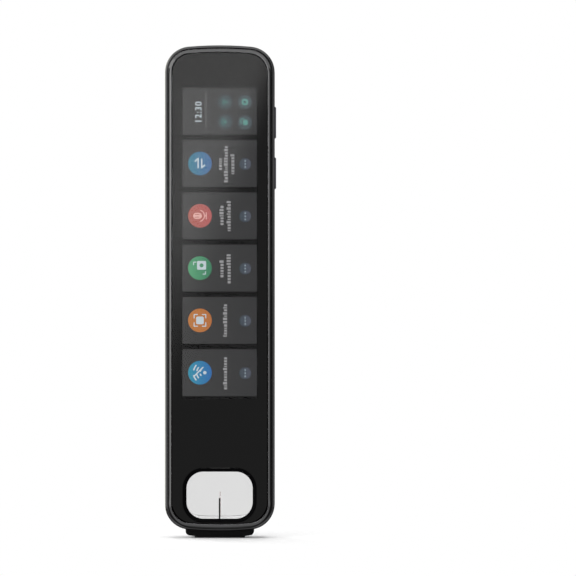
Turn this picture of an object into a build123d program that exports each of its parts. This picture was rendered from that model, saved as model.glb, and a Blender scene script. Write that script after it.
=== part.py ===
from build123d import *
import math
import os

# Handheld scanning translator, upright on its scanning nose: +X is the key side, -Y the display
# side, +Y the back and +Z up. The origin is the middle of the nose's foot. Millimetres.

# Body: a bowed, round-cornered outline, a flat front and a crowned back.
body_width = 34.0
body_length = 150.0
body_depth = 12.0
nose_reach = 2.2
corner_radius = 8.0
end_bow_radius = 110.0
crown_radius = 70.0
shoulder_radius = 4.5
front_half_depth = 4.6
wall = 1.2
gap = 0.1
snug = 0.05
spare = 5.0
half_width = body_width / 2
body_bottom = nose_reach
body_top = body_bottom + body_length
front_y = -body_depth / 2
back_y = body_depth / 2
parting_y = front_y + front_half_depth

# Front frame: a round outer edge, a bright bevel, the pocket of the glass and a ledge under it.
frame_round = 1.2
bevel_width = 0.8
bevel_rise = 0.7
glass_proud = 0.25
glass_thickness = 0.75
glass_edge_round = 0.3
print_thickness = 0.1
adhesive_thickness = 0.1
ledge_width = 1.4
ledge_thickness = 0.8
frame_front_y = front_y + glass_proud
bevel_back_y = frame_front_y + bevel_rise
glass_inset = frame_round + bevel_width + gap
print_front_y = front_y + glass_thickness
adhesive_front_y = print_front_y + print_thickness
ledge_front_y = adhesive_front_y + adhesive_thickness
ledge_back_y = ledge_front_y + ledge_thickness
ledge_inset = glass_inset + ledge_width

# Lip of the frame that reaches into the rear cover, with windows for the cover's snap beads.
lip_thickness = 0.6
lip_reach = 0.9
lip_root = 0.8
lip_outer_inset = wall + snug
lip_inner_inset = lip_outer_inset + lip_thickness
lip_tip_y = parting_y + lip_reach
snap_low_offset = 42.8
snap_middle_offset = 77.8
snap_top_offset = 13.2
snap_length = 3.6
snap_depth = 0.45
snap_thickness = 0.35
snap_start = 0.25
snap_heights = (body_bottom + snap_low_offset, body_bottom + snap_middle_offset, body_top - snap_top_offset)

# Window at the lower end: a tapered see-through chamber between two clear lenses.
window_side = 6.8
window_height = 14.5
window_radius = 5.2
window_floor = 3.9
front_bezel_width = 1.1
front_bezel_depth = 0.6
front_lens_lap = 0.35
rear_window_grow = 1.42
rear_window_height = 15.7
rear_window_side_bow = 0.39
rear_window_end_bow = 0.84
rear_window_corner = 4.75
rear_bezel_side = 1.33
rear_bezel_top = 1.4
rear_bezel_bottom = 1.77
rear_bezel_proud = 0.12
rear_bezel_ledge = 0.6
rear_bezel_ledge_drop = 0.3
lens_recess = 0.35
lens_thickness = 0.8
lens_lap = 0.45
chamber_wall = 0.8
mark_width = 0.5
mark_height = 6.3
mark_depth = 0.1
rear_mark_width = 0.4
rear_mark_height = 7.7
window_width = body_width - 2 * window_side
window_bottom = body_bottom + window_floor
window_top = window_bottom + window_height
window_middle = window_bottom + window_height / 2
rear_window_width = window_width + 2 * rear_window_grow
rear_window_middle = window_bottom + rear_window_height / 2
front_lens_y = ledge_front_y + snug / 2
chamber_front_y = front_lens_y + lens_thickness + snug

# Nose: a fixed shroud, and inside it the scan head, which a press on the page slides up.
nose_side = 6.4
nose_depth = 6.9
nose_corner = 1.3
nose_edge_round = 0.3
nose_foot_side = 4.1
nose_lift = 0.6
nose_rise = 1.2
shroud_tongue = 0.35
shroud_tongue_height = 0.4
shroud_tongue_side = 3.6
nose_travel = 0.4
head_gap = 0.1
head_side_wall = 1.0
head_front_wall = 0.8
head_corner = 0.9
head_edge_round = 0.25
slot_side = 3.8
slot_depth = 3.8
slot_step = 0.4
slot_corner = 0.6
scan_glass_recess = 0.2
scan_glass_thickness = 0.8
nose_width = body_width - 2 * nose_side
nose_foot = nose_width - 2 * nose_foot_side
shroud_bottom = nose_travel
shroud_top = body_bottom + nose_rise
shroud_tongue_z = shroud_top - snug - shroud_tongue_height
slot_width = nose_width - 2 * slot_side
head_width = slot_width + 2 * head_side_wall
head_depth = slot_depth + 2 * head_front_wall

# Arms of the scan head: they follow the body's corners and rise beside the chamber.
arm_depth = 2.0
arm_thickness = 1.1
arm_gap = 0.7
arm_foot_inset = 1.8
arm_foot_height = 1.7
arm_bar_height = 1.2
arm_rise = 5.3
lug_height = 1.2
lug_back = 0.6
stop_height = 1.6
stop_inset = 0.2
stop_start = 0.6
arm_front_y = lip_tip_y + gap
arm_back_y = arm_front_y + arm_depth
arm_outer_radius = corner_radius - wall - arm_gap
arm_outer_x = half_width - wall - arm_gap
arm_inner_x = arm_outer_x - arm_thickness
arm_bottom = shroud_top + gap
arm_foot_top = arm_bottom + arm_foot_height
arm_top = window_top + arm_rise
corner_centre_x = half_width - corner_radius
corner_centre_z = body_bottom + end_bow_radius - math.sqrt(
    (end_bow_radius - corner_radius) ** 2 - corner_centre_x**2
)

# Springs over the arms.
spring_length = 4.6
spring_radius = 0.75
spring_wire = 0.26
spring_pitch = 0.9
spring_seat_height = 1.2
spring_seat_reach = 1.0
spring_y = (arm_front_y + arm_back_y) / 2
spring_x = arm_outer_x - spring_radius - spring_wire / 2 - gap
spring_seat_z = arm_top + spring_length

# Display, backlight and chassis.
display_side = 4.0
display_floor = 19.1
display_headroom = 11.5
display_corner = 0.8
view_side = 1.3
view_floor = 3.3
view_headroom = 1.7
view_corner = 0.4
cell_thickness = 0.85
cell_inset = 0.2
backlight_thickness = 0.8
chassis_plate = 1.0
chassis_gap = 0.15
chassis_leg_floor = 6.8
chassis_leg_inset = 0.8
chassis_notch = 0.5
display_width = body_width - 2 * display_side
display_bottom = window_top + display_floor
display_top = body_top - display_headroom
display_height = display_top - display_bottom
view_width = display_width - 2 * view_side
view_height = display_height - view_floor - view_headroom
view_middle = display_bottom + view_floor + view_height / 2
display_front_y = ledge_front_y + gap
cell_back_y = display_front_y + cell_thickness
display_back_y = cell_back_y + backlight_thickness
chassis_front_y = ledge_back_y + snug
chassis_back_y = display_back_y + chassis_plate
chassis_inset = wall + chassis_gap
chassis_leg_bottom = body_bottom + chassis_leg_floor
chassis_leg_x = arm_inner_x - chassis_leg_inset

# Main board and what stands on it.
board_thickness = 0.8
board_standoff = 2.3
board_side = 4.0
board_headroom = 4.7
board_height = 49.5
board_corner = 3.0
boss_radius = 1.5
screw_radius = 0.7
screw_head_radius = 1.25
screw_head_height = 0.6
screw_slot_width = 0.3
screw_slot_length = 1.6
screw_slot_depth = 0.3
screw_bite = 0.4
screw_side = 1.8
screw_low_offset = 2.6
screw_top_offset = 4.1
can_width = 17.0
can_height = 15.0
can_floor = 5.2
can_depth = 1.7
can_sheet = 0.2
can_round = 0.4
large_chip = (6.0, 7.0, 0.9)
small_chip = (4.0, 4.0, 0.8)
lead_socket = (7.5, 2.4, 1.1)
chip_spacing = 9.5
chip_rise = 1.2
socket_floor = 1.9
board_width = body_width - 2 * board_side
board_top = body_top - board_headroom
board_bottom = board_top - board_height
board_front_y = chassis_back_y + board_standoff
board_rear_y = board_front_y + board_thickness
screw_x = board_width / 2 - screw_side
screw_heights = (board_bottom + screw_low_offset, board_top - screw_top_offset)
screw_depth = board_standoff + screw_bite
can_bottom = board_bottom + can_floor
can_top = can_bottom + can_height

# USB-C socket.
usb_shell_width = 8.94
usb_shell_height = 3.16
usb_shell_wall = 0.3
usb_shell_length = 7.3
usb_hole_gap = 0.23
usb_tongue_width = 6.7
usb_tongue_thickness = 0.7
usb_tongue_reach = 4.45
usb_tongue_round = 0.2
usb_base_length = 1.3
usb_mouth_z = body_top - wall
usb_y = board_rear_y + usb_shell_height / 2

# Side keys, the switches behind them, and the microphone between them.
key_length = 10.0
key_depth = 2.3
key_offset = 1.5
key_headroom = 23.7
key_spacing = 15.7
key_proud = 0.42
key_travel = 0.35
key_chamfer = 0.4
key_corner = 0.9
key_gap = 0.12
key_flange = 0.3
key_flange_thickness = 0.65
key_flange_gap = 0.4
key_bay_margin = 1.0
key_bay_depth = 3.0
switch_offset = 0.6
switch_height = 3.6
switch_depth = 1.6
switch_width = 2.0
switch_gap = 0.5
switch_floor = 0.6
plunger_radius = 0.45
plunger_length = 1.5
microphone_hole = 0.4
microphone_size = (1.0, 2.6, 2.9)
boot_radius = 1.1
boot_length = 1.2
boot_gap = 0.2
key_y = parting_y + key_offset
power_key_z = body_top - key_headroom
function_key_z = power_key_z - key_spacing
microphone_z = (power_key_z + function_key_z) / 2
key_flange_x = half_width - wall - key_flange_gap
key_flange_back_x = key_flange_x - key_flange_thickness
key_bay_bottom = function_key_z - key_length / 2 - key_bay_margin
key_bay_top = power_key_z + key_length / 2 + key_bay_margin
switch_y = key_y + switch_offset
switch_face_x = key_flange_back_x - key_travel - switch_gap
boot_x = half_width - wall - boot_gap

# Speaker panel on a low mound of the back, with its grille and badge.
panel_width = 16.0
panel_height = 44.4
panel_radius = 3.6
panel_headroom = 7.5
panel_groove = 0.4
panel_proud = 0.85
panel_sink = 0.35
panel_round = 0.3
panel_shoulder = 2.3
panel_shoulder_radius = 6.0
mound_height = 0.45
mound_land = 0.15
mound_foot = 1.6
mound_side_slope = 20
mound_end_slope = 24
mound_blend = 6.0
grille_count = 9
grille_pitch = 1.02
grille_hole = 0.28
grille_rise = 6.6
badge_width = 10.9
badge_height = 28.4
badge_corner = 1.7
badge_corner_round = 1.6
badge_floor = 1.8
badge_trim_width = 0.55
badge_pocket = 0.7
badge_trim_proud = 0.12
sound_window = 9.6
sound_window_corner = 1.0
mesh_thickness = 0.12
panel_bottom = body_top - panel_headroom - panel_height
panel_middle = panel_bottom + panel_height / 2
panel_top_y = back_y + panel_proud
badge_floor_y = panel_top_y - badge_pocket
badge_top_y = panel_top_y + badge_trim_proud
badge_bottom = panel_bottom + badge_floor
badge_middle = badge_bottom + badge_height / 2
grille_z = badge_bottom + badge_height + grille_rise

# Speaker and battery.
speaker_width = 11.0
speaker_height = 13.2
speaker_depth = 2.75
speaker_corner = 1.5
speaker_drop = 0.7
speaker_lift = 0.2
gasket_thickness = 0.42
gasket_width = 1.0
cone_margin = 0.4
cone_depth = 0.5
dome_radius = 3.2
dome_rise = 0.3
battery_side = 6.0
battery_gap = 2.5
battery_depth = 4.6
battery_round = 1.2
lead_radius = 0.35
lead_spacing = 1.6
lead_offset = 0.5
speaker_z = grille_z - speaker_drop
gasket_back_y = back_y - wall - speaker_width**2 / (8 * crown_radius) - speaker_lift
speaker_back_y = gasket_back_y - gasket_thickness
speaker_front_y = speaker_back_y - speaker_depth

# Scanning camera over the chamber, its lights, and the lower board with the trigger switch.
camera_y = 1.0
sleeve_rise = 4.4
sleeve_outer = 3.2
sleeve_inner = 2.2
sleeve_sink = 0.5
barrel_radius = 2.15
barrel_length = 3.2
camera_width = 8.4
camera_depth = 5.4
camera_height = 3.0
camera_lens_radius = 1.3
camera_lens_thickness = 0.6
camera_lens_recess = 0.3
camera_lens_pocket = 1.0
led_board_width = 15.0
led_board_depth = 4.4
led_board_thickness = 0.6
led_board_rise = 2.35
led_size = 1.6
led_height = 0.6
led_x = 5.0
led_hole = 0.96
sensor_board_side = 4.5
sensor_board_height = 7.4
sensor_board_rise = 2.7
trigger_inset = 2.6
trigger_width = 2.6
trigger_rise = 1.4
trigger_height = 3.0
trigger_bore = 1.7
trigger_plunger_length = 2.3
sensor_flex_width = 1.8
sensor_flex_gap = 0.7
sensor_flex_lap = 1.2
post_half_width = 1.0
post_height = 2.0
ribbon = 0.15
display_flex_width = 12.0
display_flex_loop = 2.6
display_flex_lap = 3.0
display_flex_bend = 0.8
sleeve_top = window_top + sleeve_rise
led_board_z = window_top + led_board_rise
sensor_board_width = body_width - 2 * sensor_board_side
sensor_board_bottom = arm_top + sensor_board_rise
sensor_board_top = sensor_board_bottom + sensor_board_height
trigger_x = arm_inner_x - trigger_inset
trigger_y = board_rear_y + switch_depth / 2
trigger_bottom = arm_top + trigger_rise
lug_inner_x = trigger_x - 2 * plunger_radius
lug_back_y = trigger_y + lug_back
stop_back_y = arm_back_y - stop_inset
battery_width = body_width - 2 * battery_side
battery_bottom = sensor_board_top + battery_gap
battery_top = board_bottom - battery_gap
sensor_flex_x = -(battery_width / 2 + sensor_flex_gap + sensor_flex_width / 2)


def block(x0, x1, y0, y1, z0, z1):
    """A box between two corners."""
    return Pos((x0 + x1) / 2, (y0 + y1) / 2, (z0 + z1) / 2) * Box(x1 - x0, y1 - y0, z1 - z0)


def slab(sketch, front, back):
    """An X-Z sketch as a plate that fills the depths from front to back."""
    return extrude(Plane.XZ.offset(-back) * sketch, amount=back - front)


def rod_x(x0, x1, y, z, radius):
    return Pos((x0 + x1) / 2, y, z) * Rot(0, 90, 0) * Cylinder(radius, x1 - x0)


def rod_y(x, y0, y1, z, radius):
    return Pos(x, (y0 + y1) / 2, z) * Rot(90, 0, 0) * Cylinder(radius, y1 - y0)


def rod_z(x, y, z0, z1, radius):
    return Pos(x, y, (z0 + z1) / 2) * Cylinder(radius, z1 - z0)


def rounded(width, height, radius, middle):
    """A round-cornered rectangle in the X-Z plane, centred at a height."""
    return Pos(0, middle) * RectangleRounded(width, height, radius)


def bowed(width, height, grow, middle):
    """The rear window's outline for a size: four bowed sides and round corners, grown all round."""
    half_x, half_z = width / 2 + grow, height / 2 + grow
    x, z = half_x - rear_window_side_bow, half_z - rear_window_end_bow
    edges = [
        ThreePointArc((-x, -z), (-half_x, 0), (-x, z)),
        ThreePointArc((-x, z), (0, half_z), (x, z)),
        ThreePointArc((x, z), (half_x, 0), (x, -z)),
        ThreePointArc((x, -z), (0, -half_z), (-x, -z)),
    ]
    face = make_face(edges)
    return Pos(0, middle) * fillet(face.vertices(), rear_window_corner + grow)


def both_sides(shape):
    return shape + mirror(shape, about=Plane.YZ)


def body_outline(inset=0.0):
    """The front silhouette: straight sides, bowed ends and round corners, moved in by inset."""
    half = half_width - inset
    bow = end_bow_radius - inset
    rise = math.sqrt(bow**2 - half**2)
    low = body_bottom + end_bow_radius - rise
    high = body_top - end_bow_radius + rise
    edges = [
        Line((-half, low), (-half, high)),
        ThreePointArc((-half, high), (0, body_top - inset), (half, high)),
        Line((half, high), (half, low)),
        ThreePointArc((half, low), (0, body_bottom + inset), (-half, low)),
    ]
    face = make_face(edges)
    return fillet(face.vertices(), corner_radius - inset)


def rear_form(inset=0.0, front=parting_y):
    """The crowned rear half of the body, moved in by inset, from a depth backwards."""
    prism = slab(body_outline(inset), front, back_y + spare)
    crown = rod_z(0, back_y - crown_radius, body_bottom - spare, body_top + spare, crown_radius - inset)
    form = prism & crown
    rim = form.faces().sort_by(Axis.Y)[-1].edges()
    return fillet(rim, shoulder_radius - inset)


def nose_plan(grow=0.0):
    return RectangleRounded(nose_width + 2 * grow, nose_depth + 2 * grow, nose_corner + grow)


def shroud_tongues(clearance):
    """Ridges at the front and back of the shroud, or with clearance the grooves for them."""
    half_x = nose_width / 2 - shroud_tongue_side + clearance
    half_y = nose_depth / 2 + shroud_tongue + clearance
    z0 = shroud_tongue_z - clearance
    z1 = shroud_tongue_z + shroud_tongue_height + clearance
    return block(-half_x, half_x, -half_y, half_y, z0, z1)


def nose_hole():
    """The opening at the parting line that holds the shroud and lets the arms move."""
    return extrude(nose_plan(snug), amount=arm_foot_top + nose_travel + gap) + shroud_tongues(snug)


def key_slot(z):
    half_depth, half_length = key_depth / 2 + key_gap, key_length / 2 + key_gap
    y0, y1 = key_y - half_depth, key_y + half_depth
    return block(key_flange_x, half_width + spare, y0, y1, z - half_length, z + half_length)


def key_bay():
    """The stretch of the lip that the keys and the microphone need."""
    outer_x = half_width - wall
    inner_x = outer_x - key_bay_depth
    return block(inner_x, outer_x, parting_y, lip_tip_y + spare, key_bay_bottom, key_bay_top)


def snap(z, side, clearance):
    """One snap bead, or with clearance its window in the lip."""
    x0 = half_width - wall - snap_depth - 2 * clearance
    x1 = half_width - wall + (clearance if clearance else gap)
    y0 = parting_y + snap_start - clearance
    y1 = y0 + snap_thickness + 2 * clearance
    half = snap_length / 2 + clearance
    bead = block(x0, x1, y0, y1, z - half, z + half)
    return bead if side > 0 else mirror(bead, about=Plane.YZ)


def snaps(clearance):
    """Beads down both sides, without those that the keys leave no room for."""
    beads = []
    for z in snap_heights:
        beads.append(snap(z, -1, clearance))
        if z + snap_length < key_bay_bottom or z - snap_length > key_bay_top:
            beads.append(snap(z, 1, clearance))
    return beads


# Front frame and glass


def front_frame():
    prism = slab(body_outline(), bevel_back_y, parting_y)
    edge = prism.faces().sort_by(Axis.Y)[0].edges()
    outer = fillet(edge, frame_round)
    low = Plane.XZ.offset(-bevel_back_y) * body_outline(frame_round)
    high = Plane.XZ.offset(-frame_front_y) * body_outline(frame_round + bevel_width)
    outer += loft([low, high], ruled=True)
    outer -= slab(body_outline(glass_inset - gap), front_y - spare, ledge_front_y)
    outer -= slab(body_outline(ledge_inset), ledge_front_y - spare, ledge_back_y + spare)
    outer -= slab(body_outline(wall), ledge_back_y, parting_y + spare)
    outer -= slab(front_lens_outline(snug), ledge_front_y - spare, ledge_back_y + spare)
    root_front = parting_y - lip_root
    lip = slab(body_outline(wall - snug), root_front, parting_y)
    lip += slab(body_outline(lip_outer_inset), parting_y, lip_tip_y)
    lip -= slab(body_outline(lip_inner_inset), root_front - spare, lip_tip_y + spare)
    frame = outer + lip
    frame -= nose_hole()
    frame -= key_bay()
    for window in snaps(snug):
        frame -= window
    return frame


def front_bezel_outline(grow=0.0):
    width = window_width + 2 * (front_bezel_width + grow)
    height = window_height + 2 * (front_bezel_width + grow)
    return rounded(width, height, window_radius + front_bezel_width + grow, window_middle)


def front_glass():
    glass = slab(body_outline(glass_inset), front_y, print_front_y)
    glass = fillet(glass.faces().sort_by(Axis.Y)[0].edges(), glass_edge_round)
    return glass - slab(front_bezel_outline(snug), front_y - spare, print_front_y + spare)


def glass_print():
    """The black print on the back of the glass, open over the display."""
    plate = slab(body_outline(glass_inset + gap), print_front_y, adhesive_front_y)
    plate -= slab(front_bezel_outline(snug), print_front_y - spare, adhesive_front_y + spare)
    return plate - slab(rounded(view_width, view_height, view_corner, view_middle), front_y, ledge_back_y)


def glass_adhesive():
    ring = slab(body_outline(glass_inset + gap), adhesive_front_y, ledge_front_y)
    ring -= slab(body_outline(ledge_inset - gap), adhesive_front_y - spare, ledge_front_y + spare)
    return ring - slab(front_bezel_outline(snug), adhesive_front_y - spare, ledge_front_y + spare)


# Window


def window_front_bezel():
    ring = slab(front_bezel_outline(), front_y, ledge_front_y)
    throat = rounded(window_width, window_height, window_radius, window_middle)
    rim = front_bezel_width - 2 * gap
    mouth = rounded(window_width + 2 * rim, window_height + 2 * rim, window_radius + rim, window_middle)
    deep = Plane.XZ.offset(-(front_y + front_bezel_depth)) * throat
    shallow = Plane.XZ.offset(-front_y) * mouth
    ring -= loft([deep, shallow], ruled=True)
    return ring - slab(throat, front_y, ledge_front_y + spare)


def front_mark():
    half, back = mark_width / 2, front_lens_y + mark_depth
    return block(-half, half, front_lens_y, back, window_bottom, window_bottom + mark_height)


def front_lens_outline(grow=0.0):
    lap = front_lens_lap + grow
    return rounded(window_width + 2 * lap, window_height + 2 * lap, window_radius + lap, window_middle)


def window_front_lens():
    return slab(front_lens_outline(), front_lens_y, front_lens_y + lens_thickness) - front_mark()


def chamber_loft(grow):
    """The tapered see-through passage, or with grow its outer wall."""
    front = rounded(window_width + 2 * grow, window_height + 2 * grow, window_radius + grow, window_middle)
    rear = bowed(rear_window_width, rear_window_height, grow, rear_window_middle)
    near = Plane.XZ.offset(-chamber_front_y) * front
    far = Plane.XZ.offset(-back_y) * rear
    return loft([far, near], ruled=True)


def scan_slot(step=0.0):
    return RectangleRounded(slot_width + 2 * step, slot_depth + 2 * step, slot_corner)


def optical_chamber():
    lens_back = lens_recess + lens_thickness + snug
    outer = chamber_loft(chamber_wall) & rear_form(lens_back, front=chamber_front_y)
    outer += rod_z(0, camera_y, window_top + sleeve_sink, sleeve_top, sleeve_outer)
    outer -= chamber_loft(0)
    outer -= rod_z(0, camera_y, window_middle, sleeve_top + spare, sleeve_inner)
    for x in (-led_x, led_x):
        outer -= rod_z(x, camera_y, window_middle, led_board_z, led_hole)
    return outer - extrude(scan_slot(), amount=window_middle)


def rear_bezel_outline(grow=0.0):
    width = rear_window_width
    height = rear_window_height + rear_bezel_top + rear_bezel_bottom - 2 * rear_bezel_side
    middle = rear_window_middle + (rear_bezel_top - rear_bezel_bottom) / 2
    return bowed(width, height, rear_bezel_side + grow, middle)


def rear_lens_outline(grow=0.0):
    return bowed(rear_window_width, rear_window_height, lens_lap + grow, rear_window_middle)


def rear_prism(sketch):
    return slab(sketch, 0, back_y + spare)


def window_rear_bezel():
    """A stepped ring: a low outer ledge, and a raised band beside the lens."""
    ring = rear_prism(rear_bezel_outline()) & rear_form(rear_bezel_ledge_drop)
    ring += rear_prism(rear_bezel_outline(-rear_bezel_ledge)) & rear_form(-rear_bezel_proud)
    ring -= rear_form(lens_recess + lens_thickness)
    opening = bowed(rear_window_width, rear_window_height, 0, rear_window_middle)
    ring -= rear_prism(opening)
    return ring - (rear_prism(rear_lens_outline(snug)) & rear_form(lens_recess - snug))


def rear_mark():
    low = window_bottom
    half = rear_mark_width / 2
    strip = block(-half, half, 0, back_y + spare, low, low + rear_mark_height)
    return strip & rear_form(lens_recess) - rear_form(lens_recess + mark_depth)


def window_rear_lens():
    lens = rear_prism(rear_lens_outline()) & rear_form(lens_recess)
    return lens - rear_form(lens_recess + lens_thickness) - rear_mark()


# Rear cover and its speaker panel


def crown_slab(rise):
    """All that lies under the crown of the back, raised by rise."""
    return rod_z(0, back_y - crown_radius, 0, body_top, crown_radius + rise)


def panel_outline(grow=0.0):
    return rounded(panel_width + 2 * grow, panel_height + 2 * grow, panel_radius + grow, panel_middle)


def mound_section(rise):
    """The outline of the mound's flanks, at a rise over the back."""
    land = panel_groove + mound_land
    crown_drop = (panel_width / 2 + land) ** 2 / (2 * crown_radius)
    side = land + (mound_height - crown_drop - rise) / math.tan(math.radians(mound_side_slope))
    end = land + (mound_height - rise) / math.tan(math.radians(mound_end_slope))
    radius = panel_radius + (side + end) / 2
    outline = rounded(panel_width + 2 * side, panel_height + 2 * end, radius, panel_middle)
    return Plane.XZ.offset(-back_y - rise) * outline


def mound():
    """The low swelling of the cover round the speaker panel, with a soft upper edge."""
    form = loft([mound_section(-mound_foot), mound_section(mound_height)], ruled=True)
    form &= crown_slab(mound_height)
    return fillet(form.faces().sort_by(Axis.Y)[-1].edges(), mound_blend)


def rear_skin():
    """The outside of the rear cover: the crowned form and the mound, blended into each other."""
    form, swelling = rear_form(), mound()
    skin = form + swelling
    return fillet(new_edges(form, swelling, combined=skin), mound_blend)


def usb_hole():
    width = usb_shell_width + 2 * usb_hole_gap
    height = usb_shell_height + 2 * usb_hole_gap
    shoulder = usb_mouth_z - shoulder_radius + wall
    return Pos(0, usb_y, shoulder) * extrude(SlotOverall(width, height), amount=body_top + spare - shoulder)


def rear_cover():
    shell = rear_skin() - rear_form(wall)
    shell -= rear_prism(rear_bezel_outline(snug))
    shell -= rear_prism(panel_outline(panel_groove)) - crown_slab(-panel_sink - snug)
    shell -= rear_prism(rounded(sound_window, sound_window, sound_window_corner, grille_z))
    shell -= nose_hole()
    shell -= usb_hole()
    shell -= key_slot(power_key_z) + key_slot(function_key_z)
    shell -= rod_x(half_width - wall - gap, half_width + spare, key_y, microphone_z, microphone_hole)
    for bead in snaps(0):
        shell += bead
    return shell


def badge_outline(grow=0.0):
    """A rectangle with slanted, slightly rounded corners, moved out by grow."""
    face = Rectangle(badge_width + 2 * grow, badge_height + 2 * grow)
    face = chamfer(face.vertices(), badge_corner + grow * (2 - math.sqrt(2)))
    return Pos(0, badge_middle) * fillet(face.vertices(), badge_corner_round + grow)


def panel_form():
    """All that lies under the panel's top: flat in the middle, and rounded down towards both sides."""
    half = panel_width / 2 - panel_shoulder + panel_shoulder_radius
    form = block(-half, half, 0, panel_top_y, body_bottom, body_top)
    return fillet(form.edges().filter_by(Axis.Z).sort_by(Axis.Y)[-2:], panel_shoulder_radius)


def speaker_panel():
    panel = rear_prism(panel_outline()) & panel_form()
    walls = panel.faces().filter_by(lambda face: abs(face.normal_at().Y) < snug)
    rim = [edge for edge in walls.edges().filter_by(Axis.Y, reverse=True) if edge.center().Y > back_y]
    panel = fillet(rim, panel_round)
    panel -= crown_slab(-panel_sink)
    panel -= slab(badge_outline(snug), badge_floor_y, back_y + spare)
    first = -(grille_count - 1) / 2
    steps = [(first + i) * grille_pitch for i in range(grille_count)]
    holes = [rod_y(x, 0, back_y + spare, grille_z + z, grille_hole) for x in steps for z in steps]
    return panel - holes


def badge_trim():
    return slab(badge_outline() - badge_outline(-badge_trim_width), badge_floor_y, badge_top_y)


def badge_plate():
    return slab(badge_outline(-badge_trim_width - snug), badge_floor_y, panel_top_y)


def speaker_mesh():
    side = sound_window - gap
    face = -panel_sink - snug / 2
    sheet = rear_prism(rounded(side, side, sound_window_corner, grille_z)) & crown_slab(face)
    return sheet - crown_slab(face - mesh_thickness)


def speaker_gasket():
    outer = rounded(speaker_width, speaker_height, speaker_corner, speaker_z)
    inner_width, inner_height = speaker_width - 2 * gasket_width, speaker_height - 2 * gasket_width
    inner = rounded(inner_width, inner_height, speaker_corner / 2, speaker_z)
    return slab(outer - inner, speaker_back_y, gasket_back_y)


def speaker():
    """A box speaker with a round surround and a domed cone."""
    outline = rounded(speaker_width, speaker_height, speaker_corner, speaker_z)
    box = slab(outline, speaker_front_y, speaker_back_y)
    cone_radius = speaker_width / 2 - gasket_width - cone_margin
    box -= rod_y(0, speaker_back_y - cone_depth, speaker_back_y + spare, speaker_z, cone_radius)
    dome = Pos(0, speaker_back_y - cone_depth + dome_rise - dome_radius, speaker_z) * Sphere(dome_radius)
    return box + (dome & rod_y(0, speaker_front_y + cone_depth, speaker_back_y, speaker_z, cone_radius))


# Display stack and chassis


def display_plate(front, back, inset=0.0):
    middle = display_bottom + display_height / 2
    sketch = rounded(display_width - 2 * inset, display_height - 2 * inset, display_corner, middle)
    return slab(sketch, front, back)


def display_cell():
    return display_plate(display_front_y, cell_back_y, cell_inset)


def display_backlight():
    return display_plate(cell_back_y, display_back_y)


def display_flex():
    """The ribbon from the display's top edge round the chassis to the main board."""
    crest = display_top + display_flex_loop
    board_y = board_front_y - ribbon / 2 - snug
    start_y = (display_front_y + display_back_y) / 2
    end_z = display_top - display_flex_lap
    points = [(0, start_y, display_top), (0, start_y, crest), (0, board_y, crest), (0, board_y, end_z)]
    path = FilletPolyline(*points, radius=display_flex_bend)
    start = Plane(origin=(0, start_y, display_top), z_dir=(0, 0, 1))
    return sweep(start * Rectangle(display_flex_width, ribbon), path=path)


def chassis():
    plate = slab(body_outline(chassis_inset), chassis_front_y, chassis_back_y)
    plate -= block(-body_width, body_width, front_y, back_y, 0, chassis_leg_bottom)
    plate -= block(-chassis_leg_x, chassis_leg_x, front_y, back_y, 0, led_board_z)
    plate -= display_plate(front_y, display_back_y, -gap)
    flex_half = display_flex_width / 2 + chassis_notch
    flex_low, flex_high = display_top - chassis_notch, display_top + display_flex_loop + chassis_notch
    plate -= block(-flex_half, flex_half, front_y, back_y, flex_low, flex_high)
    root_y = chassis_back_y - snug
    stop_top = arm_top - lug_height - gap
    stop_x0, stop_x1 = lug_inner_x + stop_start, arm_inner_x - gap
    plate += both_sides(block(stop_x0, stop_x1, root_y, stop_back_y, stop_top - stop_height, stop_top))
    seat_top = spring_seat_z + spring_seat_height
    seat_x = arm_inner_x - spring_seat_reach
    plate += both_sides(block(seat_x, arm_outer_x, root_y, arm_back_y, spring_seat_z, seat_top))
    post_x0, post_x1 = screw_x - post_half_width, screw_x + post_half_width
    post_low = sensor_board_top - sensor_board_height / 2 - post_height / 2
    plate += both_sides(block(post_x0, post_x1, root_y, board_front_y, post_low, post_low + post_height))
    for x in (-screw_x, screw_x):
        for z in screw_heights:
            plate += rod_y(x, root_y, board_front_y, z, boss_radius)
            plate -= rod_y(x, board_front_y - screw_depth, board_front_y + spare, z, screw_radius)
    return plate


# Boards


def main_board():
    middle = (board_bottom + board_top) / 2
    outline = rounded(board_width, board_height, board_corner, middle)
    board = slab(outline, board_front_y, board_rear_y)
    for x in (-screw_x, screw_x):
        for z in screw_heights:
            board -= rod_y(x, board_front_y - spare, board_rear_y + spare, z, screw_radius + gap)
    notch_x = switch_face_x - switch_width - snug
    half = switch_height / 2 + snug
    for z in (power_key_z, function_key_z):
        board -= block(notch_x, half_width, front_y, back_y, z - half, z + half)
    return board


def board_screws():
    screws = []
    half, reach = screw_slot_width / 2, screw_slot_length / 2
    head_y = board_rear_y + screw_head_height
    slot_y = head_y - screw_slot_depth
    for x in (-screw_x, screw_x):
        for z in screw_heights:
            head = rod_y(x, board_rear_y, head_y, z, screw_head_radius)
            shank = rod_y(x, board_front_y - screw_depth + gap, board_rear_y, z, screw_radius - snug / 2)
            upright = block(x - half, x + half, slot_y, head_y + spare, z - reach, z + reach)
            across = block(x - reach, x + reach, slot_y, head_y + spare, z - half, z + half)
            screws.append(head + shank - upright - across)
    return Compound(children=screws)


def shield_can():
    half = can_width / 2
    inner = half - can_sheet
    can_back_y = board_rear_y + can_depth
    can = block(-half, half, board_rear_y, can_back_y, can_bottom, can_top)
    can = fillet(can.faces().sort_by(Axis.Y)[-1].edges(), can_round)
    hollow_low, hollow_high = can_bottom + can_sheet, can_top - can_sheet
    return can - block(-inner, inner, board_rear_y - spare, can_back_y - can_sheet, hollow_low, hollow_high)


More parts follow.
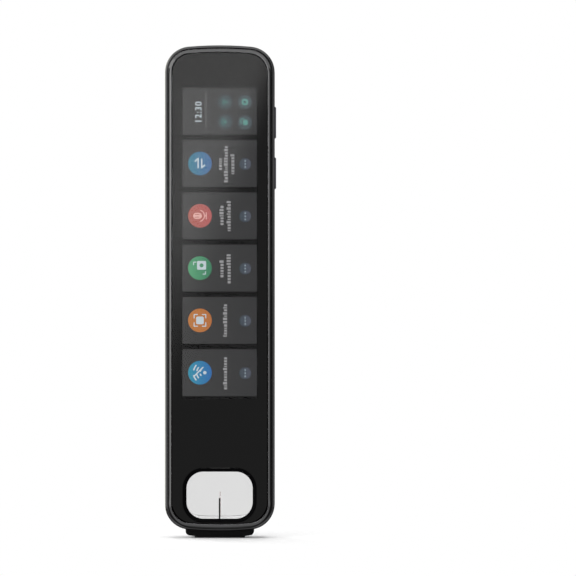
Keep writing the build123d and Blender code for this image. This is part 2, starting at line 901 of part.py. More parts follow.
def chip(size, x, z):
    """A chip on the back of the main board, from its lower edge up."""
    width, height, depth = size
    return block(x - width / 2, x + width / 2, board_rear_y, board_rear_y + depth, z, z + height)


def board_chips():
    low = can_top + chip_rise
    chips = [
        chip(large_chip, -chip_spacing / 2, low),
        chip(small_chip, chip_spacing / 2, low),
        chip(lead_socket, 0, board_bottom + socket_floor - lead_socket[1] / 2),
    ]
    return Compound(children=chips)


def sensor_board():
    half = sensor_board_width / 2
    return block(-half, half, board_front_y, board_rear_y, sensor_board_bottom, sensor_board_top)


def sensor_flex():
    """The ribbon along the battery that joins the two boards."""
    x0 = sensor_flex_x - sensor_flex_width / 2
    x1 = sensor_flex_x + sensor_flex_width / 2
    z0 = sensor_board_top - 2 * sensor_flex_lap
    return block(x0, x1, board_rear_y, board_rear_y + ribbon, z0, board_bottom + sensor_flex_lap)


# USB-C socket


def usb_shell():
    inner = SlotOverall(usb_shell_width - 2 * usb_shell_wall, usb_shell_height - 2 * usb_shell_wall)
    ring = SlotOverall(usb_shell_width, usb_shell_height) - inner
    return Pos(0, usb_y, usb_mouth_z - usb_shell_length) * extrude(ring, amount=usb_shell_length)


def usb_tongue():
    inner_width = usb_shell_width - 2 * usb_shell_wall - snug
    inner_height = usb_shell_height - 2 * usb_shell_wall - snug
    base = extrude(SlotOverall(inner_width, inner_height), amount=usb_base_length)
    blade = Box(usb_tongue_width, usb_tongue_thickness, usb_tongue_reach)
    blade = fillet(blade.faces().sort_by(Axis.Z)[-1].edges(), usb_tongue_round)
    blade = Pos(0, 0, usb_base_length + usb_tongue_reach / 2) * blade
    return Pos(0, usb_y, usb_mouth_z - usb_shell_length) * (base + blade)


# Side keys


def side_key(z):
    half_depth, half_length = key_depth / 2, key_length / 2
    x0, x1 = key_flange_x - snug, half_width + key_proud
    cap = block(x0, x1, key_y - half_depth, key_y + half_depth, z - half_length, z + half_length)
    cap = fillet(cap.edges().filter_by(Axis.X), key_corner)
    cap = chamfer(cap.faces().sort_by(Axis.X)[-1].edges(), key_chamfer)
    y0, y1 = key_y - half_depth - key_flange, key_y + half_depth + key_flange
    z0, z1 = z - half_length - key_flange, z + half_length + key_flange
    return cap + block(key_flange_back_x, key_flange_x, y0, y1, z0, z1)


def side_switch(z):
    x0 = switch_face_x - switch_width
    half = switch_depth / 2
    z0, z1 = z - switch_height / 2, z + switch_height / 2
    body = block(x0, switch_face_x, switch_y - half, switch_y + half, z0, z1)
    return body - rod_x(x0 + switch_floor, switch_face_x + spare, switch_y, z, plunger_radius + snug)


def switch_plunger(z):
    x1 = key_flange_back_x - snug / 2
    return rod_x(x1 - plunger_length, x1, switch_y, z, plunger_radius)


def microphone():
    thickness, depth, height = microphone_size
    x1 = boot_x - boot_length - snug
    z0, z1 = microphone_z - height / 2, microphone_z + height / 2
    return block(x1 - thickness, x1, key_y - depth / 2, key_y + depth / 2, z0, z1)


def microphone_boot():
    boot = rod_x(boot_x - boot_length, boot_x, key_y, microphone_z, boot_radius)
    return boot - rod_x(boot_x - 2 * boot_length, boot_x + spare, key_y, microphone_z, microphone_hole)


# Nose: shroud, scan head, springs and trigger switch


def nose_profile():
    """Front view of the shroud: a flat foot, lifted ends and round lower corners."""
    half, foot = nose_width / 2, nose_foot / 2
    low, lifted = shroud_bottom, shroud_bottom + nose_lift
    right = [(foot, low), (half, lifted), (half, shroud_top)]
    left = [(-x, z) for x, z in reversed(right)]
    face = make_face(Polyline(*right, *left, close=True))
    corners = [v for v in face.vertices() if abs(v.Y - lifted) < snug]
    return fillet(corners, nose_corner)


def nose_shroud():
    height = shroud_top - shroud_bottom
    side = Pos(0, shroud_top) * RectangleRounded(nose_depth, 2 * height, nose_edge_round)
    shroud = slab(nose_profile(), -nose_depth, nose_depth) & extrude(nose_plan(), amount=shroud_top)
    shroud &= extrude(Plane.YZ * side, amount=nose_width, both=True)
    shroud += shroud_tongues(0)
    hole = RectangleRounded(head_width + 2 * head_gap, head_depth + 2 * head_gap, head_corner + head_gap)
    return shroud - extrude(hole, amount=shroud_top + spare)


def corner_arc(radius):
    """The quarter disc under an arm's bend, about the body's corner centre."""
    disc = Pos(corner_centre_x, corner_centre_z) * Circle(radius)
    quarter = Pos(corner_centre_x + radius / 2, corner_centre_z - radius / 2) * Rectangle(radius, radius)
    return disc & quarter


def head_arm():
    """One arm: a bar over the shroud, the bend round the corner, the riser and its lug."""
    bend = corner_arc(arm_outer_radius) - corner_arc(arm_outer_radius - arm_thickness)
    arm = slab(bend, arm_front_y, arm_back_y)
    foot_x = nose_width / 2
    arm += block(arm_inner_x, arm_outer_x, arm_front_y, arm_back_y, corner_centre_z, arm_top)
    bar_x = slot_width / 2 + slot_step / 2
    arm += block(bar_x, foot_x, arm_front_y, arm_back_y, arm_bottom, arm_bottom + arm_bar_height)
    arm += block(foot_x - arm_foot_inset, foot_x, arm_front_y, arm_back_y, arm_bottom, arm_foot_top)
    lug_end_x = arm_inner_x + snug
    return arm + block(lug_inner_x, lug_end_x, arm_front_y, lug_back_y, arm_top - lug_height, arm_top)


def scan_head():
    plan = RectangleRounded(head_width, head_depth, head_corner)
    head = extrude(plan, amount=arm_bottom + arm_bar_height)
    head = fillet(head.faces().sort_by(Axis.Z)[0].edges(), head_edge_round)
    head += both_sides(head_arm())
    head -= extrude(scan_slot(), amount=body_bottom + spare)
    return head - extrude(scan_slot(slot_step), amount=scan_glass_recess + scan_glass_thickness + snug)


def scan_glass():
    plate = extrude(scan_slot(slot_step - snug), amount=scan_glass_thickness)
    return Pos(0, 0, scan_glass_recess) * plate


def nose_springs():
    height = spring_length - spring_wire - 2 * snug
    path = Helix(pitch=spring_pitch, height=height, radius=spring_radius)
    start = Plane(origin=path @ 0, z_dir=path % 0)
    coil = sweep(start * Circle(spring_wire / 2), path=path, is_frenet=True)
    low = arm_top + snug + spring_wire / 2
    return Compound(children=[Pos(x, spring_y, low) * coil for x in (-spring_x, spring_x)])


def trigger_switch():
    x0, x1 = trigger_x - trigger_width / 2, trigger_x + trigger_width / 2
    z1 = trigger_bottom + trigger_height
    body = block(x0, x1, board_rear_y, board_rear_y + switch_depth, trigger_bottom, z1)
    bore_top = trigger_bottom + trigger_bore
    return body - rod_z(trigger_x, trigger_y, trigger_bottom - spare, bore_top, plunger_radius + snug)


def trigger_plunger():
    z0 = arm_top + snug / 2
    return rod_z(trigger_x, trigger_y, z0, z0 + trigger_plunger_length, plunger_radius)


# Scanning camera


def camera_module():
    low = sleeve_top + snug
    half, reach = camera_width / 2, camera_depth / 2
    body = block(-half, half, camera_y - reach, camera_y + reach, low, low + camera_height)
    tip = low - barrel_length
    body += rod_z(0, camera_y, tip, low, barrel_radius)
    return body - rod_z(0, camera_y, tip - spare, tip + camera_lens_pocket, camera_lens_radius + snug)


def camera_lens():
    z0 = sleeve_top + snug - barrel_length + camera_lens_recess
    return rod_z(0, camera_y, z0, z0 + camera_lens_thickness, camera_lens_radius)


def led_board():
    half, reach = led_board_width / 2, led_board_depth / 2
    top = led_board_z + led_board_thickness
    board = block(-half, half, camera_y - reach, camera_y + reach, led_board_z, top)
    return board - rod_z(0, camera_y, led_board_z - spare, top + spare, sleeve_outer + snug)


def scan_leds():
    half = led_size / 2
    low = led_board_z - led_height
    y0, y1 = camera_y - half, camera_y + half
    chips = [block(x - half, x + half, y0, y1, low, led_board_z) for x in (-led_x, led_x)]
    return Compound(children=chips)


# Battery


def battery():
    half = battery_width / 2
    y0 = chassis_back_y + snug
    pouch = block(-half, half, y0, y0 + battery_depth, battery_bottom, battery_top)
    return fillet(pouch.edges().filter_by(Axis.Z), battery_round)


def battery_leads():
    y = board_front_y - lead_offset
    places = (-lead_spacing / 2, lead_spacing / 2)
    leads = [rod_z(x, y, battery_top, board_bottom + sensor_flex_lap, lead_radius) for x in places]
    return Compound(children=leads)


parts = {
    "front_frame": front_frame(),
    "front_glass": front_glass(),
    "glass_print": glass_print(),
    "glass_adhesive": glass_adhesive(),
    "window_front_bezel": window_front_bezel(),
    "window_front_lens": window_front_lens(),
    "alignment_mark_front": front_mark(),
    "optical_chamber": optical_chamber(),
    "window_rear_bezel": window_rear_bezel(),
    "window_rear_lens": window_rear_lens(),
    "alignment_mark_rear": rear_mark(),
    "rear_cover": rear_cover(),
    "speaker_panel": speaker_panel(),
    "badge_trim": badge_trim(),
    "badge_plate": badge_plate(),
    "speaker_mesh": speaker_mesh(),
    "speaker_gasket": speaker_gasket(),
    "speaker": speaker(),
    "display_cell": display_cell(),
    "display_backlight": display_backlight(),
    "display_flex": display_flex(),
    "chassis": chassis(),
    "main_board": main_board(),
    "board_screws": board_screws(),
    "shield_can": shield_can(),
    "board_chips": board_chips(),
    "sensor_board": sensor_board(),
    "sensor_flex": sensor_flex(),
    "usb_shell": usb_shell(),
    "usb_tongue": usb_tongue(),
    "power_key": side_key(power_key_z),
    "function_key": side_key(function_key_z),
    "power_switch": side_switch(power_key_z),
    "function_switch": side_switch(function_key_z),
    "power_switch_plunger": switch_plunger(power_key_z),
    "function_switch_plunger": switch_plunger(function_key_z),
    "microphone": microphone(),
    "microphone_boot": microphone_boot(),
    "nose_shroud": nose_shroud(),
    "scan_head": scan_head(),
    "scan_glass": scan_glass(),
    "nose_springs": nose_springs(),
    "trigger_switch": trigger_switch(),
    "trigger_plunger": trigger_plunger(),
    "camera_module": camera_module(),
    "camera_lens": camera_lens(),
    "led_board": led_board(),
    "scan_leds": scan_leds(),
    "battery": battery(),
    "battery_leads": battery_leads(),
}

os.makedirs("parts", exist_ok=True)
for name, part in parts.items():
    export_step(part, f"parts/{name}.step")
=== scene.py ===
import math
import random
from functools import partial
import bpy
import bmesh
from mathutils import Matrix, Vector


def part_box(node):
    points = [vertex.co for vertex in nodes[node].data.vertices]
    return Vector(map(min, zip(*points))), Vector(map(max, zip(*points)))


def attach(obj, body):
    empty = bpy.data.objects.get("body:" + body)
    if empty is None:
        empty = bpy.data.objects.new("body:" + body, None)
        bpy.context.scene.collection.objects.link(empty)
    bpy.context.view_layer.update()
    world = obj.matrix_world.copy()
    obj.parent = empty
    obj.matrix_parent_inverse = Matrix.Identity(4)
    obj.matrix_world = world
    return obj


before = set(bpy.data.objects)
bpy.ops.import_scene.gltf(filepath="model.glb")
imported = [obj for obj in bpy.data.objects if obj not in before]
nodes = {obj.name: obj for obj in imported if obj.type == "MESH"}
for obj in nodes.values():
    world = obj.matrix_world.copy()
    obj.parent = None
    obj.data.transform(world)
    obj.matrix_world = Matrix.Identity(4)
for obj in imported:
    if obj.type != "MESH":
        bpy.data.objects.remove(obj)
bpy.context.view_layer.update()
mm = 0.001
print("frame loaded:", len(nodes), "nodes")


# colour and node helpers

def tone(red, green, blue):  # screen values 0 to 255 as a linear colour
    def linear(value):
        value /= 255
        return value / 12.92 if value <= 0.04045 else ((value + 0.055) / 1.055) ** 2.4
    return (linear(red), linear(green), linear(blue), 1.0)


white = tone(255, 255, 255)


def feed(tree, node, values):  # an output is linked to the input, anything else is set on it
    for label, value in values.items():
        if isinstance(value, bpy.types.NodeSocket):
            tree.links.new(value, node.inputs[label])
        else:
            node.inputs[label].default_value = value


def addNode(tree, kind, values=None, **settings):
    node = tree.nodes.new("ShaderNode" + kind)
    for label, value in settings.items():
        setattr(node, label, value)
    feed(tree, node, values or {})
    return node


def mathNode(tree, operation, first, second=0.0):
    return addNode(tree, "Math", {0: first, 1: second}, operation=operation).outputs[0]


def vectorNode(tree, operation, first, second):
    return addNode(tree, "VectorMath", {0: first, 1: second}, operation=operation).outputs


def spanNode(tree, value, start, end, low=0.0, high=1.0, smooth=False):  # start to end becomes low to high
    ends = {"Value": value, "From Min": start, "From Max": end, "To Min": low, "To Max": high}
    course = "SMOOTHSTEP" if smooth else "LINEAR"
    return addNode(tree, "MapRange", ends, interpolation_type=course).outputs["Result"]


def softStep(tree, value, edge, soft):
    return spanNode(tree, value, edge - soft, edge + soft)


def blendTones(tree, mask, first, second):
    return addNode(tree, "Mix", {"Factor": mask, 6: first, 7: second}, data_type="RGBA").outputs[2]


def greyNode(tree, level):
    return addNode(tree, "CombineColor", {channel: level for channel in range(3)}).outputs[0]


def spot(tree):  # the point's X, Y and Z in millimetres
    split = addNode(tree, "SeparateXYZ", {0: addNode(tree, "TexCoord").outputs["Object"]})
    return [mathNode(tree, "DIVIDE", split.outputs[axis], mm) for axis in "XYZ"]


# shared surface effects

grainNoise = {"detail": 2.0, "low": 0.3, "high": 0.7}
driftNoise = {"detail": 4.0, "middle": 0.5}


def newGroup(name, inputs, outputs):
    group = bpy.data.node_groups.new(name, "ShaderNodeTree")
    for label, kind, value in inputs:
        socket = group.interface.new_socket(label, in_out="INPUT", socket_type="NodeSocket" + kind)
        socket.default_value = value
    for label, kind in outputs:
        group.interface.new_socket(label, in_out="OUTPUT", socket_type="NodeSocket" + kind)
    return group, group.nodes.new("NodeGroupInput").outputs, group.nodes.new("NodeGroupOutput")


def makeFineGrain():  # blasted or moulded grain: a roughness that changes and a height for the bump
    group, given, result = newGroup(
        "fineGrain",
        [("Scale", "Float", 4000.0), ("Low", "Float", 0.3), ("High", "Float", 0.4)],
        [("Roughness", "Float"), ("Height", "Float")],
    )
    place = addNode(group, "TexCoord").outputs["Object"]
    noise = {"Vector": place, "Scale": given["Scale"], "Detail": grainNoise["detail"]}
    height = addNode(group, "TexNoise", noise).outputs["Fac"]
    roughness = spanNode(group, height, grainNoise["low"], grainNoise["high"], given["Low"], given["High"])
    feed(group, result, {"Roughness": roughness, "Height": height})
    return group


def makeToneDrift():  # a slow, faint change of colour over the surface
    group, given, result = newGroup(
        "toneDrift",
        [("Color", "Color", (0.5, 0.5, 0.5, 1.0)), ("Scale", "Float", 60.0), ("Drift", "Float", 0.06)],
        [("Color", "Color")],
    )
    place = addNode(group, "TexCoord").outputs["Object"]
    noise = {"Vector": place, "Scale": given["Scale"], "Detail": driftNoise["detail"]}
    cloud = addNode(group, "TexNoise", noise).outputs["Fac"]
    centred = mathNode(group, "SUBTRACT", cloud, driftNoise["middle"])
    level = mathNode(group, "ADD", mathNode(group, "MULTIPLY", centred, given["Drift"]), 1.0)
    tint = addNode(group, "VectorMath", {0: given["Color"], "Scale": level}, operation="SCALE")
    feed(group, result, {"Color": tint.outputs[0]})
    return group


fineGrain = makeFineGrain()
toneDrift = makeToneDrift()


def drifting(tree, colour, **values):
    return addNode(tree, "Group", {"Color": colour, **values}, node_tree=toneDrift).outputs["Color"]


def grained(tree, scale, roughness):
    values = {"Scale": scale, "Low": roughness[0], "High": roughness[1]}
    return addNode(tree, "Group", values, node_tree=fineGrain).outputs


def newMaterial(name):
    material = bpy.data.materials.new(name)
    material.use_nodes = True
    return material, material.node_tree, material.node_tree.nodes["Principled BSDF"]


plainLook = {"driftScale": 60.0, "drift": 0.08, "grainScale": 4000.0, "bump": 0.1, "bumpDepth": 0.02,
             "metallic": 0.0, "ior": 1.5, "glow": 0.0}


def grainedFinish(name, look):  # metals, plastics, boards and foils
    material, tree, shader = newMaterial(name)
    look = plainLook | look
    grain = grained(tree, look["grainScale"], look["roughness"])
    bump = addNode(tree, "Bump", {"Strength": look["bump"], "Distance": look["bumpDepth"] * mm,
                                  "Height": grain["Height"]})
    feed(tree, shader, {
        "Base Color": drifting(tree, look["colour"], Scale=look["driftScale"], Drift=look["drift"]),
        "Roughness": grain["Roughness"], "Normal": bump.outputs["Normal"], "Metallic": look["metallic"],
        "IOR": look["ior"], "Emission Color": white, "Emission Strength": look["glow"],
    })
    return material


def glassFinish(name, look):
    material, tree, shader = newMaterial(name)
    feed(tree, shader, {
        "Base Color": drifting(tree, look["colour"], Scale=look["driftScale"], Drift=look["drift"]),
        "Roughness": 0.0, "Transmission Weight": 1.0, "IOR": look["ior"],
    })
    return material


def camelName(slot):
    first, *others = slot.split("_")
    return first + "".join(word.title() for word in others)


# finishes of the record's slots, one dictionary each

grainedLooks = {
    "front_metal": {"colour": tone(150, 150, 152), "roughness": (0.15, 0.20), "metallic": 1.0,
                    "grainScale": 9000.0, "bump": 0.05, "drift": 0.05},
    "rear_metal": {"colour": tone(126, 125, 141), "roughness": (0.27, 0.33), "metallic": 1.0,
                   "grainScale": 7000.0, "bump": 0.18, "bumpDepth": 0.012, "drift": 0.06, "driftScale": 40.0},
    "key_metal": {"colour": tone(150, 150, 160), "roughness": (0.28, 0.34), "metallic": 1.0,
                  "grainScale": 9000.0, "bump": 0.08, "drift": 0.05},
    "black_gloss": {"colour": tone(8, 8, 9), "roughness": (0.12, 0.2), "grainScale": 3000.0, "bump": 0.03,
                    "ior": 1.12},
    "panel_texture": {"colour": tone(104, 102, 117), "roughness": (0.26, 0.38), "metallic": 1.0,
                      "grainScale": 3200.0, "bump": 0.45, "bumpDepth": 0.05, "drift": 0.1},
    "bright_trim": {"colour": tone(190, 190, 196), "roughness": (0.16, 0.22), "metallic": 1.0, "bump": 0.04,
                    "drift": 0.04},
    "badge_black": {"colour": tone(4, 4, 5), "roughness": (0.0, 0.01), "grainScale": 1500.0, "bump": 0.01},
    "mesh_steel": {"colour": tone(26, 26, 28), "roughness": (0.35, 0.5), "metallic": 1.0, "bump": 0.3},
    "nose_black": {"colour": tone(15, 15, 16), "roughness": (0.36, 0.48), "ior": 1.22, "grainScale": 3500.0,
                   "bump": 0.15, "bumpDepth": 0.03},
    # black_print's faint glow is painted light: it stands in for the light that the cover glass keeps off the
    # print
    "black_print": {"colour": tone(22, 22, 22), "roughness": (0.45, 0.55), "bump": 0.02, "ior": 1.0,
                    "glow": 0.0125},
    "adhesive": {"colour": tone(52, 52, 52), "roughness": (0.5, 0.65)},
    # the light guide's glow is painted light inside the chamber
    "light_guide": {"colour": tone(245, 245, 245), "roughness": (0.45, 0.55), "bump": 0.05, "glow": 0.35},
    "rubber_grey": {"colour": tone(72, 72, 74), "roughness": (0.7, 0.82), "bump": 0.25, "bumpDepth": 0.04},
    "black_plastic": {"colour": tone(30, 30, 32), "roughness": (0.42, 0.55), "bump": 0.15, "bumpDepth": 0.03},
    "display": {"colour": tone(12, 12, 13), "roughness": (0.16, 0.22), "grainScale": 2500.0, "bump": 0.01,
                "ior": 1.0},
    "white_plastic": {"colour": tone(222, 222, 218), "roughness": (0.38, 0.48), "bump": 0.08},
    "polyimide": {"colour": tone(168, 108, 40), "roughness": (0.3, 0.4), "grainScale": 900.0, "drift": 0.2,
                  "driftScale": 300.0},
    "magnesium": {"colour": tone(150, 150, 148), "roughness": (0.45, 0.6), "metallic": 0.9,
                  "grainScale": 1800.0, "bump": 0.35, "bumpDepth": 0.05, "drift": 0.15},
    "circuit_board": {"colour": tone(24, 74, 48), "roughness": (0.3, 0.42), "grainScale": 700.0, "bump": 0.2,
                      "bumpDepth": 0.03, "drift": 0.35, "driftScale": 500.0},
    "steel": {"colour": tone(176, 176, 178), "roughness": (0.2, 0.3), "metallic": 1.0, "bump": 0.05},
    "chip_black": {"colour": tone(26, 26, 27), "roughness": (0.5, 0.62), "bump": 0.2},
    "switch_body": {"colour": tone(44, 44, 46), "roughness": (0.4, 0.5)},
    "battery_wrap": {"colour": tone(168, 172, 178), "roughness": (0.3, 0.42), "metallic": 0.6,
                     "grainScale": 600.0, "bump": 0.3, "bumpDepth": 0.06, "drift": 0.2, "driftScale": 120.0},
}
glassLooks = {
    "cover_glass": {"colour": (0.985, 0.985, 0.985, 1.0), "ior": 1.25, "driftScale": 30.0, "drift": 0.01},
    "clear_lens": {"colour": (0.86, 0.86, 0.86, 1.0), "ior": 1.4, "driftScale": 30.0, "drift": 0.01},
}
finishes = {slot: grainedFinish(camelName(slot), look) for slot, look in grainedLooks.items()}
finishes.update((slot, glassFinish(camelName(slot), look)) for slot, look in glassLooks.items())
print("finishes made:", len(finishes))


# masks that follow the solids

def layOver(tree, mask, colour):  # puts a colour over what the shader has, where the mask is 1
    base = tree.nodes["Principled BSDF"].inputs["Base Color"]
    tree.links.new(blendTones(tree, mask, base.links[0].from_socket, colour), base)


def blacken(tree, mask, colour):  # the same, and the metal ends there
    layOver(tree, mask, colour)
    feed(tree, tree.nodes["Principled BSDF"], {"Metallic": mathNode(tree, "SUBTRACT", 1.0, mask)})


def legLength(tree, first, second):  # the length of two legs at a right angle
    squares = [mathNode(tree, "POWER", leg, 2.0) for leg in (first, second)]
    return mathNode(tree, "SQRT", mathNode(tree, "ADD", *squares))


def outlineDepth(tree, name, look, grow=0.0):  # how far a point lies inside a node's front outline, in mm
    calc = partial(mathNode, tree)
    low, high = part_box(name)
    corner, middle = look["corner"], (high[2] + low[2]) / 2 / mm
    halfX, halfZ = [(high[axis] - low[axis]) / 2 / mm + grow for axis in (0, 2)]
    x, z = spot(tree)[::2]
    x, z = calc("ABSOLUTE", x), calc("ABSOLUTE", calc("SUBTRACT", z, middle))

    def past(along, across, half, halfAcross, bow):  # the way past the corner's centre, with the side's bow
        share = calc("POWER", calc("DIVIDE", across, halfAcross), 2.0)
        return calc("SUBTRACT", calc("ADD", along, calc("MULTIPLY", share, bow)), half - corner)

    pastX = past(x, z, halfX, halfZ, look.get("sideBow", 0.0))
    pastZ = past(z, x, halfZ, halfX, look.get("endBow", 0.0))
    outside = legLength(tree, calc("MAXIMUM", pastX, 0.0), calc("MAXIMUM", pastZ, 0.0))
    inside = calc("MINIMUM", calc("MAXIMUM", pastX, pastZ), 0.0)
    return calc("SUBTRACT", corner, calc("ADD", outside, inside))


# the rear window's ring has a grey band inside, and round it the ledge is painted black: painted shade in the
# groove
rearRing = {"band": tone(64, 64, 67), "ledge": tone(7, 7, 8), "edge": 0.6, "soft": 0.06, "drift": 0.05,
            "grainScale": 3000.0, "roughness": (0.22, 0.30), "ior": 1.32,
            "corner": 6.08, "sideBow": 0.39, "endBow": 0.84}


def makeRearRing():
    material, tree, shader = newMaterial("rearRing")
    depth = outlineDepth(tree, "window_rear_bezel", rearRing)
    inBand = softStep(tree, depth, rearRing["edge"], rearRing["soft"])
    colour = blendTones(tree, inBand, rearRing["ledge"], rearRing["band"])
    feed(tree, shader, {
        "Base Color": drifting(tree, colour, Drift=rearRing["drift"]), "IOR": rearRing["ior"],
        "Roughness": grained(tree, rearRing["grainScale"], rearRing["roughness"])["Roughness"],
    })
    return material


# painted shade: the groove round the speaker panel and the socket's mouth, with a thin ring round the mouth,
# are painted black inside
grooveShade = {"colour": tone(12, 12, 13), "width": 0.43, "corner": 4.03, "soft": 0.02}
mouthShade = {"halfWidth": 5.0, "halfDepth": 2.25, "soft": 0.02}


def inMouth(tree):  # 1 within the socket's hole through the top end
    calc = partial(mathNode, tree)
    low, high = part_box("usb_shell")
    x, y, z = spot(tree)
    beside = calc("SUBTRACT", calc("ABSOLUTE", x), mouthShade["halfWidth"] - mouthShade["halfDepth"])
    away = calc("ABSOLUTE", calc("SUBTRACT", y, (low[1] + high[1]) / 2 / mm))
    depth = calc("SUBTRACT", mouthShade["halfDepth"], legLength(tree, calc("MAXIMUM", beside, 0.0), away))
    across = softStep(tree, depth, 0.0, mouthShade["soft"])
    return calc("MULTIPLY", across, calc("GREATER_THAN", z, low[2] / mm))


def paintHollowShade():
    tree = finishes["rear_metal"].node_tree
    depth = outlineDepth(tree, "speaker_panel", grooveShade, grow=grooveShade["width"])
    inGroove = softStep(tree, depth, 0.0, grooveShade["soft"])
    blacken(tree, mathNode(tree, "MAXIMUM", inGroove, inMouth(tree)), grooveShade["colour"])


# the light chamber is white inside and black outside, and its inside glows: painted light that stands in for
# the light reaching it through the lenses
guideLook = {"reach": 5.0, "soft": 0.5, "colour": tone(6, 6, 6)}


def makeGuideOutside():
    tree = finishes["light_guide"].node_tree
    low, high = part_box("optical_chamber")
    place = addNode(tree, "TexCoord").outputs
    centre = (0.0, 0.0, (low[2] + high[2]) / 2)
    fromCentre = vectorNode(tree, "SUBTRACT", place["Object"], centre)[0]
    arm = vectorNode(tree, "MULTIPLY", fromCentre, (1 / mm, 0.0, 1 / mm))[0]
    facing = vectorNode(tree, "DOT_PRODUCT", arm, place["Normal"])["Value"]
    outside = softStep(tree, facing, guideLook["reach"], guideLook["soft"])
    layOver(tree, outside, guideLook["colour"])
    # the inside's glow is painted light
    glow = greyNode(tree, mathNode(tree, "SUBTRACT", 1.0, outside))
    feed(tree, tree.nodes["Principled BSDF"], {"Emission Color": glow})


# the panel's sound holes are painted black inside: painted shade
grilleShade = {"pitch": 1.02, "count": 9, "middle": 137.1, "radius": 0.33, "soft": 0.03,
              "colour": tone(6, 6, 7)}


def paintGrilleHoleShade():
    tree = finishes["panel_texture"].node_tree
    calc = partial(mathNode, tree)
    pitch = grilleShade["pitch"]
    x, z = spot(tree)[::2]
    spans, offsets = [], []
    for along in (x, calc("SUBTRACT", z, grilleShade["middle"])):
        cell = calc("FRACT", calc("ADD", calc("DIVIDE", along, pitch), 0.5))
        offsets.append(calc("SUBTRACT", cell, 0.5))
        spans.append(calc("LESS_THAN", calc("ABSOLUTE", along), pitch * grilleShade["count"] / 2))
    distance = calc("MULTIPLY", legLength(tree, *offsets), pitch)
    inHole = softStep(tree, calc("SUBTRACT", grilleShade["radius"], distance), 0.0, grilleShade["soft"])
    layOver(tree, calc("MULTIPLY", inHole, calc("MULTIPLY", *spans)), grilleShade["colour"])


# painted shade: the cover glass is painted black along its rim and round the window's ring, and the frame
# below it is painted black
glassOutline = {"corner": 5.9, "endBow": 1.03}
glassRimShade = {"rim": 0.3, "hole": 0.12, "holeOutline": {"corner": 6.3}, "soft": 0.02, "colour": tone(3, 3, 3)}


def paintGlassRimShade():
    tree = finishes["cover_glass"].node_tree
    inside = outlineDepth(tree, "front_glass", glassOutline)
    hole = outlineDepth(tree, "window_front_bezel", glassRimShade["holeOutline"])
    inner = softStep(tree, inside, glassRimShade["rim"], glassRimShade["soft"])
    away = softStep(tree, mathNode(tree, "ABSOLUTE", hole), glassRimShade["hole"], glassRimShade["soft"])
    rims = mathNode(tree, "SUBTRACT", 1.0, mathNode(tree, "MULTIPLY", inner, away))
    layOver(tree, rims, glassRimShade["colour"])
    tree = finishes["front_metal"].node_tree
    below = softStep(tree, outlineDepth(tree, "front_glass", glassOutline), 0.0, glassRimShade["soft"])
    blacken(tree, below, glassRimShade["colour"])


# a painted dark reflection runs as a line along the bevel's outer edge, further out at the lower end and
# absent at the top
bevelDarkReflection = {"start": 0.55, "width": 0.42, "low": (4.0, 14.0), "lowShift": 0.6, "top": 145.0, "soft": 0.06,
             "colour": tone(58, 58, 59)}


def paintBevelDarkReflection():
    tree = finishes["front_metal"].node_tree
    calc = partial(mathNode, tree)
    z = spot(tree)[2]
    shift = spanNode(tree, z, *bevelDarkReflection["low"], bevelDarkReflection["lowShift"], 0.0, smooth=True)
    inward = outlineDepth(tree, "front_glass", glassOutline)
    outward = calc("SUBTRACT", calc("MULTIPLY", inward, -1.0), shift)
    begun = softStep(tree, outward, bevelDarkReflection["start"], bevelDarkReflection["soft"])
    ended = softStep(tree, outward, bevelDarkReflection["start"] + bevelDarkReflection["width"], bevelDarkReflection["soft"])
    line = calc("MULTIPLY", calc("SUBTRACT", begun, ended), calc("LESS_THAN", z, bevelDarkReflection["top"]))
    layOver(tree, line, bevelDarkReflection["colour"])


# each alignment mark is coloured on its outer side and backed with the light guide's white, which glows as
# painted light
markLook = {"backing": tone(230, 230, 230), "glow": 0.85, "skin": 0.05, "soft": 0.004, "drift": 0.05,
            "roughness": 0.45}
marks = {"mark_black": {"node": "alignment_mark_front", "colour": tone(8, 8, 8), "outward": -1},
         "mark_red": {"node": "alignment_mark_rear", "colour": tone(196, 160, 156), "outward": 1}}


def markFinish(name, look):
    material, tree, shader = newMaterial(name)
    outer = max(corner[1] * look["outward"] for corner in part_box(look["node"])) / mm
    depth = mathNode(tree, "MULTIPLY", spot(tree)[1], look["outward"])
    onFace = softStep(tree, depth, outer - markLook["skin"], markLook["soft"])
    colour = blendTones(tree, onFace, markLook["backing"], look["colour"])
    # the backing's glow is painted light
    glow = mathNode(tree, "MULTIPLY", mathNode(tree, "SUBTRACT", 1.0, onFace), markLook["glow"])
    feed(tree, shader, {
        "Base Color": drifting(tree, colour, Drift=markLook["drift"]), "Roughness": markLook["roughness"],
        "Emission Color": greyNode(tree, glow), "Emission Strength": 1.0,
    })
    return material


paintHollowShade()
makeGuideOutside()
paintGrilleHoleShade()
paintGlassRimShade()
paintBevelDarkReflection()
finishes.update((slot, markFinish(camelName(slot), look)) for slot, look in marks.items())
ownFinishes = {"window_rear_bezel": makeRearRing()}
for name, node in nodes.items():
    for holder in node.material_slots:
        slotName = holder.material.name
        holder.link = "OBJECT"
        holder.material = ownFinishes.get(name, finishes[slotName])
print("finishes given to", len(nodes), "nodes")


# flat parts that face the front: places and sizes in millimetres, a layer is its front and back

depthStep = 1e-7  # an edge from front to back spans more metres of depth than this
weldDistance = 1e-8
roundEnd = 0.49  # a stroke's corner radius per width


def settle(mesh, made, x, z, layer, paint):  # moves a part to its place and gives its faces a colour
    bmesh.ops.translate(mesh, verts=made, vec=(x * mm, sum(layer) / 2 * mm, z * mm))
    for face in {f for v in made for f in v.link_faces}:
        face.material_index = paint


